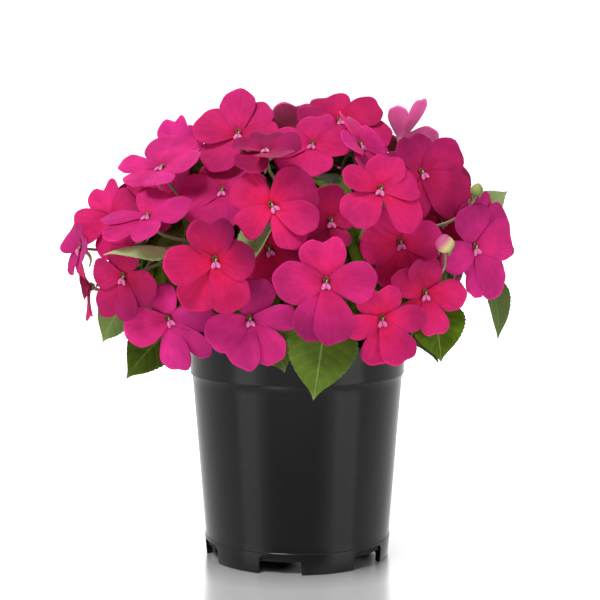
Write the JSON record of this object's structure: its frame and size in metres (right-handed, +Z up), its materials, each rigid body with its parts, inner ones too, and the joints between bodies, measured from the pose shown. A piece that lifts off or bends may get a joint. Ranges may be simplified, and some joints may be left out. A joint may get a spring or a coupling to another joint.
{
  "type": "busy lizzie in a nursery pot",
  "caption": "Bushy flowering busy lizzie with flat five-petalled magenta blooms over a mound of toothed green leaves, in a round black tapered nursery pot.",
  "frame": {"origin": "on the level that the pot stands on, under the middle of the whole plant's box; the pot's own axis is about 6 mm towards +X and 10 mm towards +Y of it", "axes": "+Z up along the pot's axis, +X to the right and -Y towards the viewer who sees the plant's front"},
  "size_m": [0.2408, 0.1952, 0.2554],
  "materials": {
    "pot": "satin",
    "soil": "matte",
    "stem_and_leaf": "satin",
    "petal": "matte",
    "bud": "satin"
  },
  "bodies": {
    "root": {"pot": "pot", "potting_soil": "soil", "leafy_stem_1": "stem_and_leaf", "leafy_stem_2": "stem_and_leaf", "leafy_stem_3": "stem_and_leaf", "leafy_stem_4": "stem_and_leaf", "leafy_stem_5": "stem_and_leaf", "leafy_stem_6": "stem_and_leaf", "leafy_stem_7": "stem_and_leaf", "bloom_01": "petal", "bloom_02": "petal", "bloom_03": "petal", "bloom_04": "petal", "bloom_05": "petal", "bloom_06": "petal", "bloom_07": "petal", "bloom_08": "petal", "bloom_09": "petal", "bloom_10": "petal", "bloom_11": "petal", "bloom_12": "petal", "bloom_13": "petal", "bloom_14": "petal", "bloom_15": "petal", "bloom_16": "petal", "bloom_17": "petal", "bloom_18": "petal", "bloom_19": "petal", "bloom_20": "petal", "bloom_21": "petal", "bloom_22": "petal", "bloom_23": "petal", "bloom_24": "petal", "bloom_25": "petal", "bloom_26": "petal", "bloom_27": "petal", "bloom_28": "petal", "bloom_29": "petal", "bloom_30": "petal", "bloom_31": "petal", "bloom_32": "petal", "bloom_33": "petal", "bloom_34": "petal", "bloom_35": "petal", "bloom_36": "petal", "bloom_37": "petal", "bloom_38": "petal", "bloom_39": "petal", "bloom_40": "petal", "bloom_41": "petal", "bloom_42": "petal", "bloom_43": "petal", "bloom_44": "petal", "bloom_45": "petal", "bloom_46": "petal", "bloom_47": "petal", "bloom_48": "petal", "bloom_49": "petal", "flower_bud_1": "bud", "flower_bud_2": "bud"}
  },
  "joints": []
}
